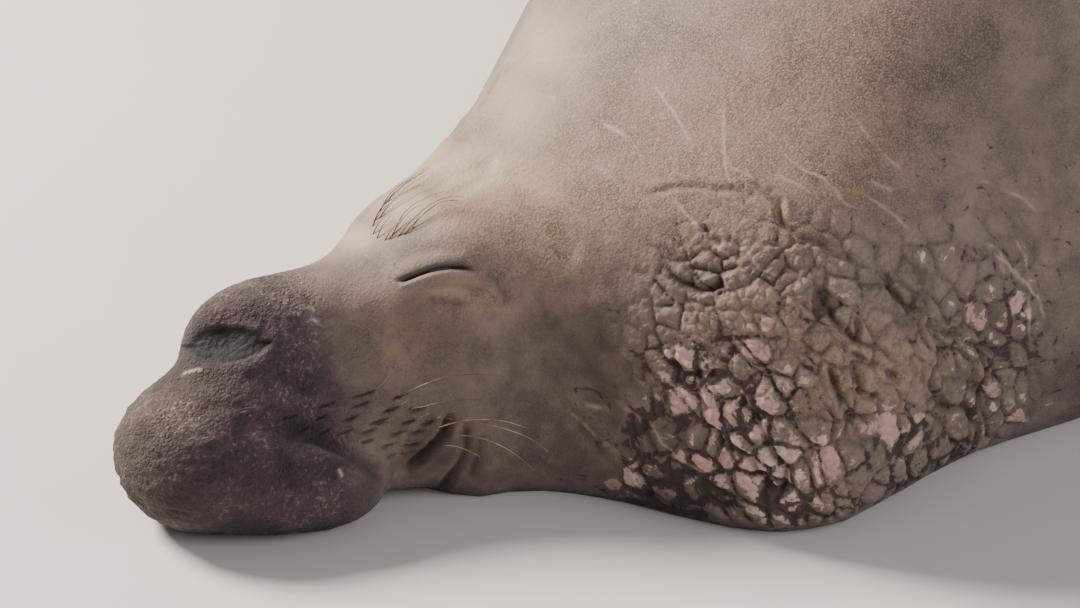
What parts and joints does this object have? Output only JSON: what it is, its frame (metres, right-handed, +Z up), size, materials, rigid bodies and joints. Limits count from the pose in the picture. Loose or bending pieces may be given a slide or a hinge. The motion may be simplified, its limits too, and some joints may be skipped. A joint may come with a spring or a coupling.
{
  "type": "elephant seal",
  "caption": "Adult bull elephant seal asleep on its belly, life size, with a slumped nose and a scarred, cobbled chest shield.",
  "frame": {"origin": "middle of the box round the whole animal, on the floor it lies on", "axes": "+X from head to tail, +Y to the animal's right, +Z up"},
  "size_m": [4.2992, 1.5904, 0.9331],
  "materials": {
    "hide": "short dry hair over skin",
    "dark_hide": "bare rough skin",
    "shield_hide": "thick scarred skin in cobbles",
    "belly_hide": "short dry hair over skin",
    "eye": "wet and glossy",
    "claw_horn": "satin horn"
  },
  "bodies": {
    "root": {"nose_cushion": "dark_hide", "nose_tip": "dark_hide", "lower_jaw": "hide", "whisker_pad_left": "hide", "eye_left": "eye", "upper_lid_left": "hide", "lower_lid_left": "hide", "ear_left": "dark_hide", "whisker_pad_right": "hide", "eye_right": "eye", "upper_lid_right": "hide", "lower_lid_right": "hide", "ear_right": "dark_hide", "head": "hide", "neck": "shield_hide", "chest": "hide", "belly": "belly_hide", "rump": "hide", "claw_left_1": "claw_horn", "claw_left_2": "claw_horn", "claw_left_3": "claw_horn", "claw_left_4": "claw_horn", "claw_left_5": "claw_horn", "fore_flipper_left": "dark_hide", "claw_right_1": "claw_horn", "claw_right_2": "claw_horn", "claw_right_3": "claw_horn", "claw_right_4": "claw_horn", "claw_right_5": "claw_horn", "fore_flipper_right": "dark_hide", "tail": "hide", "hind_flipper_left": "dark_hide", "hind_flipper_right": "dark_hide"}
  },
  "joints": []
}
